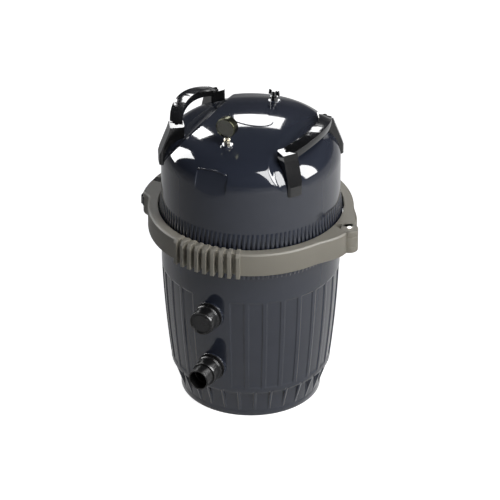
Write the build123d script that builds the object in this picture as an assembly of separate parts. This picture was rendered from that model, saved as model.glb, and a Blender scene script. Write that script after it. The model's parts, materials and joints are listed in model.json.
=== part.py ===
from build123d import *

import math
import os

os.makedirs("parts", exist_ok=True)

# Sizes are in millimetres. Z is up, the ports face -Y, the ring's hinge is at +X and its latch at -X.

# Tank
foot_radius = 229.0
foot_height = 21.0
base_top_height = 112.0
base_top_radius = 260.0
fin_depth = 13.0
fin_thickness = 9.0
fin_pitch = 12.0
tank_mid_height = 312.0
tank_mid_radius = 280.0
tank_full_height = 480.0
tank_full_radius = 289.0
tank_wall = 9.0
floor_thickness = 26.0
underside_recess = 10.0
centre_pad_radius = 60.0
foot_rim_width = 12.0
panel_low = 126.0
panel_high = 459.0
panel_width_angle = 9.0
panel_first_angle = 18.0
panel_depth = 3.5
panel_core_radius = 200.0

# Clamp flanges and clamp ring
joint_height = 628.0
flange_width = 30.0
flange_thickness = 22.0
ring_clearance = 0.3
channel_clearance = 3.0
ring_drop = 38.0
ring_rise = 39.0
ring_wall = 15.0
lip_depth = 22.0
ring_chamfer = 11.0
seal_inset = 18.0
seal_width = 8.0
seal_height = 7.0

# Grip ribs on the front half
grip_ribs = 9
grip_pitch = 4.45
grip_rib_width = 12.0
grip_rib_height = 10.0
grip_rib_setback = 4.0
grip_rib_root = 2.0
grip_proud = 5.0
grip_groove_depth = 5.0

# Hinge
hinge_offset = 16.0
knuckle_radius = 28.0
hinge_pin_radius = 8.0
hinge_gap = 6.0
hinge_lug_cover = 7.0
hinge_lug_angle = 7.0
hinge_pin_proud = 2.0
leaf_height = 33.0
running_clearance = 0.05
face_clearance = 0.4

# Latch
latch_gap = 26.0
latch_lug_cover = 12.0
lug_angle = 19.0
latch_slot_height = 33.0
latch_slot_cover = 4.0
latch_slot_overrun = 5.0
latch_slot_end_angle = 3.0
latch_pivot_angle = 13.0
latch_pivot_offset = 16.0
latch_pin_radius = 4.0
latch_eye_radius = 9.0
catch_angle = 4.6
catch_pin_radius = 5.0
catch_lug_angle = 9.0
latch_arm_thickness = 9.0
latch_hook_thickness = 8.0
latch_hook_play = 0.5
latch_arm_root = 3.0
latch_lap = 2.0
latch_tab_length = 30.0
latch_tab_rise = 4.0
latch_tab_root = 3.0

# Lid
lid_step = 1.0
lid_wall = 8.0
crown_radius = 760.0
lid_height = 340.0
crown_edge_radius = 222.0
bore_reach = 60.0
band_rise = 12.0
band_half_width = 140.0
band_side_slope = 14.0
facet_width = 107.0
facet_low_rise = 192.0
facet_high_rise = 316.0
facet_high_radius = 236.0

# Badge
badge_length = 150.0
badge_width = 92.0
badge_thickness = 2.5

# Handles
handle_radius = 238.0
handle_width = 40.0
handle_half_angle = 34.5
handle_lift = 6.0
handle_thickness = 24.0
handle_arch = 26.0
boss_length = 50.0
boss_width = 46.0
leg_toe_thickness = 9.0
leg_toe_height = 34.0
leg_corner = 6.0
leg_shoulder_drop = 20.0
handle_screw_radius = 4.0
screw_head_radius = 6.5
screw_head_height = 6.0
screw_head_depth = 16.0
screw_length = 46.0

# Gauge and air valve
fixture_radius = 165.0
fixture_boss_radius = 20.0
fixture_boss_rise = 4.0
gauge_stem_height = 29.0
gauge_case_radius = 33.0
gauge_case_depth = 28.0
gauge_case_wall = 2.5
gauge_stem_radius = 7.0
gauge_hex_width = 22.0
gauge_hex_height = 12.0
gauge_neck_height = 5.0
gauge_neck_rim = 3.0
stem_thread = 26.0
dial_depth = 9.0
dial_thickness = 1.0
lens_depth = 3.5
lens_thickness = 2.0
needle_tail = 7.0
needle_half_width = 2.2
needle_thickness = 0.8
needle_lift = 7.2
arbor_rear = 13.0
arbor_front = 6.0
arbor_hole_depth = 14.0
needle_rest_angle = 225.0
needle_length = 21.0
needle_arbor_radius = 1.5
valve_body_radius = 12.0
valve_body_height = 12.0
valve_knob_radius = 9.0
valve_knob_height = 20.0
valve_wing_span = 38.0
valve_stem_radius = 4.0
valve_thread_radius = 8.0
valve_stem_depth = 8.0
valve_wing_lift = 6.0
valve_wing_thickness = 6.0

# Ports, with each face's distance from the tank's axis
upper_port_height = 402.0
upper_port_face = 294.0
lower_port_height = 202.0
lower_port_face = 278.0
port_boss_radius = 47.0
port_boss_depth = 46.0

# Unions, measured outwards from the port's face
fitting_radius = 34.0
fitting_bore = 27.0
fitting_rear = -72.0
fitting_flange_radius = 46.0
fitting_flange_thickness = 5.0
gasket_thickness = 2.5
collar_radius = 37.5
collar_end = 36.0
nut_rear = 8.0
nut_front = 57.0
nut_rear_radius = 44.0
nut_front_radius = 39.5
nut_shoulder = 44.3
tail_radius = 35.0
tail_mouth = 95.0
pipe_socket_radius = 30.2
pipe_socket_depth = 38.0
plug_face = 55.0
plug_rim_inset = 3.0
plug_rim_width = 2.0
plug_rim_depth = 1.5
seal_land = 4.0
seal_thickness = 3.0
nut_rim_length = 9.0
nut_rim_rise = 2.5
nut_taper_length = 8.0
locknut_thickness = 12.0
locknut_width = 90.0

# Filter elements and inner pipework
cartridge_offset = 95.0
cartridge_radius = 86.0
cartridge_low = 66.0
cartridge_rise = 90.0
cap_thickness = 18.0
pleat_count = 36
pleat_outer_radius = 83.0
pleat_inner_radius = 60.0
core_outer_radius = 30.0
core_inner_radius = 26.5
spigot_radius = 24.0
manifold_radius = 198.0
manifold_low = 34.0
manifold_chamfer = 4.0
manifold_foot_radius = 12.0
manifold_foot_inset = 30.0
spigot_height = 20.0
spigot_wall = 4.0
riser_offset = 172.0
riser_radius = 28.0
riser_bore = 23.0
locator_radius = 190.0
locator_thickness = 12.0
locator_rim_width = 14.0
locator_hub_radius = 40.0
locator_pad_radius = 42.0
locator_spoke_width = 18.0
locator_peg_length = 16.0
locator_grip_length = 120.0
locator_grip_width = 12.0
locator_grip_height = 8.0
locator_hole_clearance = 2.0
bleed_tube_radius = 7.0
bleed_tube_rise = 152.0
bleed_tube_wall = 2.0
bleed_socket_depth = 12.0
strainer_radius = 14.0
strainer_height = 26.0
strainer_chamfer = 3.0
strainer_end_wall = 5.0
diffuser_radius = 41.0
diffuser_length = 34.0
diffuser_overlap = 12.0
diffuser_wall = 4.0
diffuser_slot_width = 18.0
diffuser_slot_margin = 3.0
diffuser_slots = 6

# Drain
drain_height = 160.0
drain_boss_radius = 26.0
drain_boss_face = 276.0
drain_boss_depth = 30.0
drain_hole_depth = 60.0
drain_hole_radius = 12.0
drain_head_radius = 19.0
drain_head_length = 14.0
drain_head_chamfer = 2.0
drain_flute_radius = 4.0
drain_flutes = 6
drain_thread_length = 32.0
drain_seal_clearance = 0.3
drain_seal_thickness = 2.0


# Sizes that follow from those above
flange_radius = tank_full_radius + flange_width
seal_radius = flange_radius - seal_inset
ring_low = joint_height - ring_drop
ring_high = joint_height + ring_rise
lid_radius = tank_full_radius - lid_step
crown_height = joint_height + lid_height
facet_low_height = joint_height + facet_low_rise
facet_high_height = joint_height + facet_high_rise
handle_top_height = crown_height + handle_lift
cartridge_high = joint_height + cartridge_rise
bleed_tube_top = joint_height + bleed_tube_rise
channel_floor = flange_radius + channel_clearance
ring_outer_radius = channel_floor + ring_wall
lip_inner_radius = channel_floor - lip_depth
grip_rib_radius = ring_outer_radius + grip_rib_height
grip_rib_inner_radius = lip_inner_radius + grip_rib_setback
hinge_radius = ring_outer_radius + hinge_offset
hinge_lug_radius = hinge_radius + hinge_lug_cover
latch_pivot_radius = ring_outer_radius + latch_pivot_offset
lug_radius = latch_pivot_radius + latch_lug_cover
latch_slot_floor = ring_outer_radius + latch_slot_cover


def spun(points):
    """A closed outline of radius and height pairs, spun about the vertical axis."""
    return revolve(Plane.XZ * make_face(Polyline(*points, close=True)), Axis.Z)


def spun_edges(edges):
    """The same for an outline given as joined edges."""
    return revolve(Plane.XZ * make_face(edges), Axis.Z)


def tube(outer, inner, low, high):
    """An upright tube between two heights."""
    return spun([(inner, low), (outer, low), (outer, high), (inner, high)])


def rod(radius, low, high):
    """An upright round bar between two heights."""
    return Pos(0, 0, (low + high) / 2) * Cylinder(radius, high - low)


def block(x_range, y_range, z_range):
    """A box between two corners."""
    size = [high - low for low, high in (x_range, y_range, z_range)]
    centre = [(high + low) / 2 for low, high in (x_range, y_range, z_range)]
    return Pos(*centre) * Box(*size)


def sector(inner, outer, low, high, start, sweep):
    """Part of an upright ring, from a start angle over a sweep."""
    outline = Plane.XZ * make_face(Polyline((inner, low), (outer, low), (outer, high), (inner, high), close=True))
    return Rot(0, 0, start) * revolve(outline, Axis.Z, sweep)


def facing_front(shape, height, distance=0):
    """Turns a shape built along Z so that its Z runs out along -Y, from a distance off the axis, at a height."""
    return Pos(0, -distance, height) * Rot(90, 0, 0) * shape


def polar(radius, angle):
    """A point in plan from radius and angle."""
    return radius * math.cos(math.radians(angle)), radius * math.sin(math.radians(angle))


def save(name, shape):
    """Writes one named piece."""
    export_step(shape, f"parts/{name}.step")


def at_drain(shape):
    """Turns a shape built along Z so that its Z runs out along +Y at the drain's height."""
    return Rot(0, 0, 180) * facing_front(shape, drain_height)


ports = [(upper_port_height, upper_port_face), (lower_port_height, lower_port_face)]


# Tank shell
def tank_outline(inset):
    """The wall's curve, moved in by an inset, from the base's top to the clamp flange."""
    return [
        ThreePointArc(
            (base_top_radius - inset, base_top_height),
            (tank_mid_radius - inset, tank_mid_height),
            (tank_full_radius - inset, tank_full_height),
        ),
        Line((tank_full_radius - inset, tank_full_height), (tank_full_radius - inset, joint_height)),
    ]


def closed_profile(curve, points):
    """Closes a curve with straight lines through the points, back to its start."""
    path = [curve[-1] @ 1] + [Vector(*p) for p in points] + [curve[0] @ 0]
    return curve + Polyline(*path).edges()


def tank_solid():
    pocket_top = (base_top_radius - fin_depth, base_top_height - fin_depth)
    outer = spun_edges(closed_profile(tank_outline(0), [
        (0, joint_height), (0, 0), (foot_radius, 0), (foot_radius, foot_height),
        pocket_top, (base_top_radius, base_top_height - fin_depth / 2),
    ]))
    flange = tube(flange_radius, tank_full_radius - tank_wall, joint_height - flange_thickness, joint_height)
    fin_outline = Polyline(
        (foot_radius - tank_wall / 2, foot_height), (foot_radius, foot_height),
        (base_top_radius - 1, base_top_height), (base_top_radius - fin_depth - tank_wall / 2, base_top_height),
        close=True,
    )
    fin = extrude(Plane.XZ * make_face(fin_outline), fin_thickness / 2, both=True)
    fins = [Rot(0, 0, fin_pitch * k) * fin for k in range(round(360 / fin_pitch))]
    bosses = [facing_front(rod(port_boss_radius, -port_boss_depth, 0), *port) for port in ports]
    drain_boss = at_drain(rod(drain_boss_radius, drain_boss_face - drain_boss_depth, drain_boss_face))
    cavity_floor = foot_radius - fin_depth - tank_wall
    cavity = spun_edges(closed_profile(tank_outline(tank_wall), [
        (0, joint_height), (0, floor_thickness), (cavity_floor, floor_thickness),
        (base_top_radius - fin_depth - tank_wall, base_top_height - tank_wall),
    ]))
    shell = outer + flange + fins - cavity + bosses + drain_boss
    holes = [facing_front(rod(fitting_radius + face_clearance / 2, -2 * port_boss_depth, 1), *port) for port in ports]
    drain_hole = at_drain(rod(drain_hole_radius + running_clearance, drain_boss_face - drain_hole_depth,
                              drain_boss_face + 1))
    groove = tube(
        seal_radius + seal_width / 2 + face_clearance / 2, seal_radius - seal_width / 2 - face_clearance / 2,
        joint_height - seal_height - face_clearance, joint_height + 1)
    underside = tube(foot_radius - foot_rim_width, centre_pad_radius, -1, underside_recess)
    return shell - holes - drain_hole - groove - underside - wall_panels()


def wall_panels():
    """Shallow recesses all round the wall, left out in front where the ports are."""
    core = [(panel_core_radius, joint_height), (panel_core_radius, base_top_height)]
    outer_cut = spun_edges(closed_profile(tank_outline(-panel_depth), core))
    inner_keep = spun_edges(closed_profile(tank_outline(panel_depth), core))
    skin = outer_cut - inner_keep
    count = round((360 - 2 * panel_first_angle) / fin_pitch) + 1
    first = -90 + panel_first_angle - panel_width_angle / 2
    wedges = [
        sector(panel_core_radius, flange_radius, panel_low, panel_high, first + fin_pitch * k, panel_width_angle)
        for k in range(count)
    ]
    return [skin & wedge for wedge in wedges]


save("tank_shell", tank_solid())


# Clamp ring
def ring_section():
    """The full ring: a channel that closes over both flanges."""
    low_lip = joint_height - flange_thickness - ring_clearance
    high_lip = joint_height + flange_thickness + ring_clearance
    return [
        (lip_inner_radius, ring_low), (ring_outer_radius, ring_low), (ring_outer_radius, ring_high - ring_chamfer),
        (ring_outer_radius - ring_chamfer, ring_high), (lip_inner_radius, ring_high), (lip_inner_radius, high_lip),
        (channel_floor, high_lip), (channel_floor, low_lip), (lip_inner_radius, low_lip),
    ]


def on_hinge(shape):
    """Moves a shape from the origin to the hinge pin's axis."""
    return Pos(hinge_radius, 0, 0) * shape


ring_middle = (ring_low + ring_high) / 2
leaf_low = ring_middle - leaf_height / 2
leaf_high = ring_middle + leaf_height / 2
leaf_clear = knuckle_radius + face_clearance
reach = 3 * lug_radius


def grip_place(k):
    """Turns a shape at +X to the place of one grip rib."""
    return Rot(0, 0, -90 + grip_pitch * (k - (grip_ribs - 1) / 2))


def grip():
    """Bars that run over the top of the front half and down its face."""
    low = ring_low - grip_proud
    high = ring_high + grip_proud
    root = grip_proud + grip_rib_root
    outline = Polyline(
        (channel_floor, low), (grip_rib_radius, low), (grip_rib_radius, high - ring_chamfer - grip_proud),
        (grip_rib_radius - ring_chamfer, high), (grip_rib_inner_radius, high), (grip_rib_inner_radius, high - root),
        (channel_floor, high - root), close=True,
    )
    rib = extrude(Plane.XZ * make_face(outline), grip_rib_width / 2, both=True)
    return [grip_place(k) * rib for k in range(grip_ribs)]


def grip_grooves():
    """The face between the ribs is cut back a little."""
    sweep = grip_pitch * (grip_ribs - 1)
    return sector(ring_outer_radius - grip_groove_depth, ring_outer_radius + 1, ring_low - 1, ring_high + 1,
                  -90 - sweep / 2, sweep)


def front_half():
    ring = spun(ring_section())
    keep = block((-reach, reach), (-reach, -hinge_gap / 2), (0, reach))
    keep -= block((-reach, 0), (-latch_gap / 2, 0), (0, reach))
    hinge_lug = sector(channel_floor, hinge_lug_radius, ring_low, ring_high - ring_chamfer,
                       -hinge_lug_angle, hinge_lug_angle)
    latch_lug = sector(channel_floor, lug_radius, ring_low, ring_high - ring_chamfer, -180, lug_angle)
    half = (ring - grip_grooves() + hinge_lug + latch_lug + grip()) & keep
    above = on_hinge(rod(leaf_clear, leaf_high, ring_high + 1))
    below = on_hinge(rod(leaf_clear, ring_low - 1, leaf_low))
    knuckle = on_hinge(rod(knuckle_radius, leaf_low + face_clearance, leaf_high - face_clearance))
    pin_bore = on_hinge(rod(hinge_pin_radius + running_clearance, ring_low, ring_high))
    slot = sector(latch_slot_floor, lug_radius + latch_slot_overrun, ring_middle - latch_slot_height / 2,
                  ring_middle + latch_slot_height / 2, -180, lug_angle - latch_slot_end_angle)
    x, y = polar(latch_pivot_radius, 180 + latch_pivot_angle)
    latch_bore = Pos(x, y, 0) * rod(latch_pin_radius, ring_low - 1, ring_high)
    return half - above - below + knuckle - pin_bore - slot - latch_bore


def rear_half():
    ring = spun(ring_section())
    keep = block((-reach, reach), (hinge_gap / 2, reach), (0, reach))
    keep -= block((-reach, 0), (0, latch_gap / 2), (0, reach))
    hinge_lug = sector(channel_floor, hinge_lug_radius, ring_low, ring_high - ring_chamfer, 0, hinge_lug_angle)
    catch_lug = sector(channel_floor, lug_radius, ring_low, ring_high - ring_chamfer,
                       180 - catch_lug_angle, catch_lug_angle)
    half = (ring + hinge_lug + catch_lug) & keep
    middle = on_hinge(rod(leaf_clear, leaf_low, leaf_high))
    top = on_hinge(rod(knuckle_radius, leaf_high + face_clearance, ring_high))
    bottom = on_hinge(rod(knuckle_radius, ring_low, leaf_low - face_clearance))
    pin_bore = on_hinge(rod(hinge_pin_radius, ring_low - 1, ring_high + 1))
    slot = sector(latch_slot_floor, lug_radius + latch_slot_overrun, ring_middle - latch_slot_height / 2,
                  ring_middle + latch_slot_height / 2, 180 - catch_lug_angle - 1, catch_lug_angle + 1)
    x, y = polar(latch_pivot_radius, 180 - catch_angle)
    catch_bore = Pos(x, y, 0) * rod(catch_pin_radius, ring_low - 1, ring_high)
    return half - middle + top + bottom - pin_bore - slot - catch_bore


def latch_lever():
    """An eye on the latch pin, an arm outside the catch and a hook concentric with the eye behind it."""
    px, py = polar(latch_pivot_radius, 180 + latch_pivot_angle)
    cx, cy = polar(latch_pivot_radius, 180 - catch_angle)
    reach = math.hypot(cx - px, cy - py)
    heading = math.degrees(math.atan2(cy - py, cx - px))
    low = ring_middle - latch_slot_height / 2 + face_clearance
    high = ring_middle + latch_slot_height / 2 - face_clearance
    hook_inner = reach + catch_pin_radius + face_clearance
    hook_outer = hook_inner + latch_hook_thickness
    arm_side = catch_pin_radius + face_clearance
    eye = rod(latch_eye_radius, low, high)
    arm = block((0, hook_outer - latch_lap), (0, arm_side + latch_arm_thickness), (low, high))
    arm -= block((latch_eye_radius + latch_arm_root, hook_outer), (-1, arm_side), (low - 1, high + 1))
    swing = math.degrees((catch_pin_radius - latch_hook_play) / hook_inner)
    rise = math.degrees((arm_side + latch_arm_thickness) / hook_inner)
    hook = sector(hook_inner, hook_outer, low, high, -swing, swing + rise)
    arm_outside = arm_side + latch_arm_thickness
    tab = block((hook_outer - latch_tab_length, hook_outer),
                (arm_outside - latch_tab_root, arm_outside + latch_tab_rise), (low, high))
    tab = chamfer(tab.edges().filter_by(Axis.Z), latch_lap)
    lever = eye + arm + hook + tab - rod(latch_pin_radius + running_clearance, low - 1, high + 1)
    return Pos(px, py, 0) * Rot(0, 0, heading) * lever


def upright_pin(radius, angle, pin_radius, low, high):
    x, y = polar(radius, angle)
    return Pos(x, y, 0) * rod(pin_radius, low, high)


save("ring_front_half", front_half())
save("ring_rear_half", rear_half())
save("hinge_pin", on_hinge(rod(hinge_pin_radius, ring_low - hinge_pin_proud, ring_high + hinge_pin_proud)))
save("latch_lever", latch_lever())
save("latch_pin", upright_pin(latch_pivot_radius, 180 + latch_pivot_angle, latch_pin_radius,
                              ring_low, ring_high - ring_chamfer))
save("catch_pin", upright_pin(latch_pivot_radius, 180 - catch_angle, catch_pin_radius,
                              ring_low, ring_high - ring_chamfer))


# Lid
crown_lean = math.asin(crown_edge_radius / crown_radius)
knuckle_radius_lid = (lid_radius - crown_edge_radius) / (1 - math.sin(crown_lean))
shoulder_height = crown_height - crown_radius * (1 - math.cos(crown_lean)) - knuckle_radius_lid * math.cos(crown_lean)


def dome(rise, inset, low):
    """A solid dome, its crown flowing through a tighter bend into the upright wall, down to a height."""
    crown = crown_radius - inset
    bend = knuckle_radius_lid - inset
    crown_centre = crown_height + rise - crown_radius
    bend_centre = (lid_radius - knuckle_radius_lid, shoulder_height + rise)
    top = (0, crown_centre + crown)
    crown_mid = (crown * math.sin(crown_lean / 2), crown_centre + crown * math.cos(crown_lean / 2))
    edge = (crown * math.sin(crown_lean), crown_centre + crown * math.cos(crown_lean))
    middle_lean = (crown_lean + math.pi / 2) / 2
    bend_mid = (bend_centre[0] + bend * math.sin(middle_lean), bend_centre[1] + bend * math.cos(middle_lean))
    bend_end = (bend_centre[0] + bend, bend_centre[1])
    return spun_edges([
        ThreePointArc(top, crown_mid, edge),
        ThreePointArc(edge, bend_mid, bend_end),
        Line(bend_end, (bend_end[0], low)),
        Line((bend_end[0], low), (0, low)),
        Line((0, low), top),
    ])


def crown_z(radius, rise=band_rise):
    """Height of the crown at a radius."""
    return crown_height + rise - crown_radius + math.sqrt(crown_radius ** 2 - radius ** 2)


def centre_band():
    """A wide upright slab with sloping sides that keeps the raised band of the dome."""
    high = crown_height + band_rise + 1
    low = shoulder_height - 5
    top_half = band_half_width - band_side_slope
    low_half = band_half_width + band_side_slope * (high - low) / (2 * band_rise)
    outline = Polyline((-low_half, low), (low_half, low), (top_half, high), (-top_half, high), close=True)
    return extrude(Plane.XZ * make_face(outline), lid_radius + 10, both=True)


def facet_cut(inset):
    """Everything outside the sloping plane of the front label facet, moved in by an inset."""
    low = (-(lid_radius - inset), facet_low_height)
    high = (-(facet_high_radius - inset), facet_high_height)
    far = -2 * lid_radius
    top = crown_height + bore_reach
    outline = Polyline(low, high, (high[0], top), (far, top), (far, low[1]), close=True)
    return extrude(Plane.YZ * make_face(outline), facet_width / 2 + inset, both=True)


def lid_outside():
    body = dome(0, 0, joint_height) + (dome(band_rise, 0, joint_height) & centre_band())
    body -= facet_cut(0)
    flange = tube(flange_radius, lid_radius - lid_wall, joint_height, joint_height + flange_thickness)
    bosses = [
        Pos(0, side * fixture_radius, 0) * rod(fixture_boss_radius, shoulder_height,
                                               crown_z(fixture_radius) + fixture_boss_rise)
        for side in (-1, 1)
    ]
    return body + flange + bosses


def handle_places():
    """Angles in plan of the four handle feet: two on the right, two on the left."""
    return {
        "right": [-handle_half_angle, handle_half_angle],
        "left": [180 - handle_half_angle, 180 + handle_half_angle],
    }


def lid_shell(outside):
    cavity = dome(0, lid_wall, joint_height - 1) - facet_cut(lid_wall)
    fixture_holes = [
        Pos(0, -fixture_radius, 0) * rod(gauge_stem_radius, shoulder_height, crown_height + bore_reach),
        Pos(0, fixture_radius, 0) * rod(valve_thread_radius, shoulder_height, crown_height + bore_reach),
    ]
    screw_holes = [
        Rot(0, 0, angle) * Pos(handle_radius, 0, 0) * rod(handle_screw_radius, shoulder_height,
                                                          crown_height + bore_reach)
        for angles in handle_places().values() for angle in angles
    ]
    return outside - cavity - fixture_holes - screw_holes


lid_envelope = lid_outside()
save("lid_shell", lid_shell(lid_envelope))


# Handles
def handle(side):
    """An arched strap that follows the lid's circle, on two bosses with legs down the dome."""
    centre_angle = 0 if side == "right" else 180
    low_z = handle_top_height - handle_thickness
    half_span = handle_radius * math.sin(math.radians(handle_half_angle))
    arch = [
        Line((-half_span, low_z), (-half_span, handle_top_height)),
        ThreePointArc((-half_span, handle_top_height), (0, handle_top_height + handle_arch),
                      (half_span, handle_top_height)),
        Line((half_span, handle_top_height), (half_span, low_z)),
        ThreePointArc((half_span, low_z), (0, low_z + handle_arch), (-half_span, low_z)),
    ]
    arched = extrude(Plane.YZ * make_face(arch), lid_radius, both=True)
    plan = sector(handle_radius - handle_width / 2, handle_radius + handle_width / 2, shoulder_height,
                  handle_top_height + 2 * handle_arch, -handle_half_angle, 2 * handle_half_angle)
    strap = plan & arched
    inner = handle_radius - boss_width / 2
    outer = handle_radius + boss_width / 2
    toe = lid_radius + leg_toe_thickness
    toe_low = shoulder_height - leg_toe_thickness / 2
    leg_outline = Polyline(
        (inner, shoulder_height), (inner, handle_top_height), (outer, handle_top_height),
        (outer + leg_corner, handle_top_height - leg_shoulder_drop), (toe, toe_low + leg_toe_height),
        (toe, toe_low), (lid_radius - leg_toe_thickness / 2, toe_low), close=True,
    )
    leg = extrude(Plane.XZ * make_face(leg_outline), boss_length / 2, both=True)
    leg = chamfer(leg.edges().filter_by(Axis.Z), leg_corner)
    legs = [Rot(0, 0, angle) * leg for angle in (-handle_half_angle, handle_half_angle)]
    well = rod(screw_head_radius, handle_top_height - screw_head_depth, handle_top_height + 1)
    bore = rod(handle_screw_radius + running_clearance, shoulder_height, handle_top_height)
    wells = [Rot(0, 0, angle) * Pos(handle_radius, 0, 0) * (well + bore)
             for angle in (-handle_half_angle, handle_half_angle)]
    return Rot(0, 0, centre_angle) * (strap + legs - wells) - lid_envelope


def handle_screws():
    """Four socket screws, each with its head on the floor of a boss's well."""
    head_low = handle_top_height - screw_head_depth
    screw = rod(screw_head_radius - face_clearance, head_low, head_low + screw_head_height)
    screw += rod(handle_screw_radius, head_low - screw_length, head_low)
    socket = extrude(RegularPolygon(screw_head_radius / 2, 6), screw_head_height)
    screw -= Pos(0, 0, head_low + screw_head_height / 3) * socket
    return Compound([
        Rot(0, 0, angle) * Pos(handle_radius, 0, 0) * screw
        for angles in handle_places().values() for angle in angles
    ])


def badge():
    """A bare oval skin on the crown."""
    oval = extrude(Pos(0, 0, shoulder_height) * Ellipse(badge_length / 2, badge_width / 2), crown_height)
    raised = dome(band_rise + badge_thickness, 0, joint_height)
    return (oval & raised) - lid_envelope


save("handle_right", handle("right"))
save("handle_left", handle("left"))
save("handle_screws", handle_screws())
save("badge_plate", badge())


# Gauge, on the crown in front of the badge, with its dial facing -Y
fixture_top = crown_z(fixture_radius) + fixture_boss_rise
gauge_front = fixture_radius + gauge_case_depth / 2
gauge_centre_height = fixture_top + gauge_stem_height + gauge_case_radius


def at_gauge(shape):
    """Turns a shape built along Z about the origin so that it faces -Y on the gauge's axis."""
    return Pos(0, 0, gauge_centre_height) * Rot(90, 0, 0) * shape


def arbor_hole():
    return rod(needle_arbor_radius + running_clearance, gauge_front - arbor_hole_depth, gauge_front)


def gauge_stem():
    case_low = gauge_centre_height - gauge_case_radius
    stem = rod(gauge_stem_radius - running_clearance, fixture_top - stem_thread, case_low + 1)
    collar = extrude(RegularPolygon(gauge_hex_width / 2, 6), gauge_hex_height)
    neck_low = fixture_top + gauge_hex_height
    neck = rod(gauge_stem_radius + gauge_neck_rim, neck_low, neck_low + gauge_neck_height)
    stem = Pos(0, -fixture_radius, 0) * (stem + Pos(0, 0, fixture_top) * collar + neck)
    return stem - at_gauge(rod(gauge_case_radius, 0, 2 * gauge_front))


def gauge_case():
    back = fixture_radius - gauge_case_depth / 2
    case = rod(gauge_case_radius, back, gauge_front)
    case = chamfer(case.edges().filter_by(GeomType.CIRCLE), gauge_case_wall / 2)
    recess = rod(gauge_case_radius - gauge_case_wall, gauge_front - dial_depth, gauge_front + 1)
    return at_gauge(case - recess - arbor_hole())


def gauge_dial():
    low = gauge_front - dial_depth
    dial = rod(gauge_case_radius - gauge_case_wall, low, low + dial_thickness)
    return at_gauge(dial - arbor_hole())


def gauge_needle():
    """A thin tapered pointer on its arbor, resting at the low end of the scale."""
    tip = needle_half_width / 4
    outline = Polyline((-needle_tail, -needle_half_width), (0, -needle_half_width), (needle_length, -tip),
                       (needle_length, tip), (0, needle_half_width), (-needle_tail, needle_half_width), close=True)
    pointer = extrude(make_face(outline), needle_thickness)
    arbor = rod(needle_arbor_radius, gauge_front - arbor_rear, gauge_front - arbor_front)
    needle = Pos(0, 0, gauge_front - needle_lift) * pointer + arbor
    return at_gauge(Rot(0, 0, needle_rest_angle) * needle)


def gauge_lens():
    low = gauge_front - lens_depth
    return at_gauge(rod(gauge_case_radius - gauge_case_wall, low, low + lens_thickness))


def air_valve_body():
    body = rod(valve_body_radius, fixture_top, fixture_top + valve_body_height)
    body += rod(valve_thread_radius - running_clearance, fixture_top - stem_thread, fixture_top)
    body -= rod(valve_stem_radius + running_clearance, fixture_top - valve_stem_depth - face_clearance,
                fixture_top + valve_body_height + 1)
    return Pos(0, fixture_radius, 0) * body


def air_valve_knob():
    low = fixture_top + valve_body_height + face_clearance
    high = low + valve_knob_height
    knob = chamfer(rod(valve_knob_radius, low, high).edges().filter_by(GeomType.CIRCLE), 1.5)
    tip = valve_wing_span / 2
    outline = Polyline((-tip, low + valve_wing_lift), (tip, low + valve_wing_lift), (tip - 2, high + 2),
                       (valve_wing_lift, high - 4), (-valve_wing_lift, high - 4), (2 - tip, high + 2), close=True)
    wing = extrude(Plane.XZ * make_face(outline), valve_wing_thickness / 2, both=True)
    stem = rod(valve_stem_radius, fixture_top - valve_stem_depth, low + 2)
    return Pos(0, fixture_radius, 0) * (knob + wing + stem)


save("gauge_stem", gauge_stem())
save("gauge_case", gauge_case())
save("gauge_dial", gauge_dial())
save("gauge_needle", gauge_needle())
save("gauge_lens", gauge_lens())
save("air_valve_body", air_valve_body())
save("air_valve_knob", air_valve_knob())


# Ports and unions, built along Z as distance from the tank's axis
def fitting():
    """Bulkhead fitting: a threaded tube through the wall, an outer flange and the union's collar."""
    flange_low = gasket_thickness
    body = rod(fitting_radius, fitting_rear, collar_end)
    body += rod(fitting_flange_radius, flange_low, flange_low + fitting_flange_thickness)
    body += rod(collar_radius, flange_low, collar_end)
    seal_groove = tube(fitting_radius, fitting_radius - seal_land, collar_end - seal_thickness, collar_end + 1)
    return body - rod(fitting_bore, fitting_rear - 1, collar_end + 1) - seal_groove


def union_nut():
    """A nut that turns on the collar and holds the tail's flange behind its shoulder."""
    waist = nut_rear_radius - nut_rim_rise
    return spun([
        (collar_radius + running_clearance, nut_rear), (nut_rear_radius, nut_rear),
        (nut_rear_radius, nut_rear + nut_rim_length), (waist, nut_rear + nut_rim_length + nut_rim_rise),
        (waist, nut_front - nut_taper_length), (nut_front_radius, nut_front),
        (tail_radius + face_clearance, nut_front), (tail_radius + face_clearance, nut_shoulder),
        (collar_radius + running_clearance, nut_shoulder),
    ])


def tailpiece():
    """Flanged tail with a socket for the pipe."""
    flange_high = nut_shoulder - face_clearance / 2
    tail = rod(tail_radius, collar_end, tail_mouth) + rod(collar_radius - face_clearance, collar_end, flange_high)
    tail -= rod(fitting_bore, collar_end - 1, tail_mouth)
    return tail - rod(pipe_socket_radius, tail_mouth - pipe_socket_depth, tail_mouth + 1)


def blanking_plug():
    flange_high = nut_shoulder - face_clearance / 2
    plug = rod(tail_radius, collar_end, plug_face) + rod(collar_radius - face_clearance, collar_end, flange_high)
    rim_radius = tail_radius - plug_rim_inset
    return plug - tube(rim_radius, rim_radius - plug_rim_width, plug_face - plug_rim_depth, plug_face + 1)


def both_ports(shape):
    """The same small piece at both ports, as separate solids of one node."""
    return Compound([facing_front(shape, *port) for port in ports])


def fitting_locknut():
    nut = extrude(RegularPolygon(locknut_width / 2, 6, major_radius=False), locknut_thickness)
    nut = Pos(0, 0, -port_boss_depth - locknut_thickness) * nut
    return nut - rod(fitting_radius, fitting_rear, 0)


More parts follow.
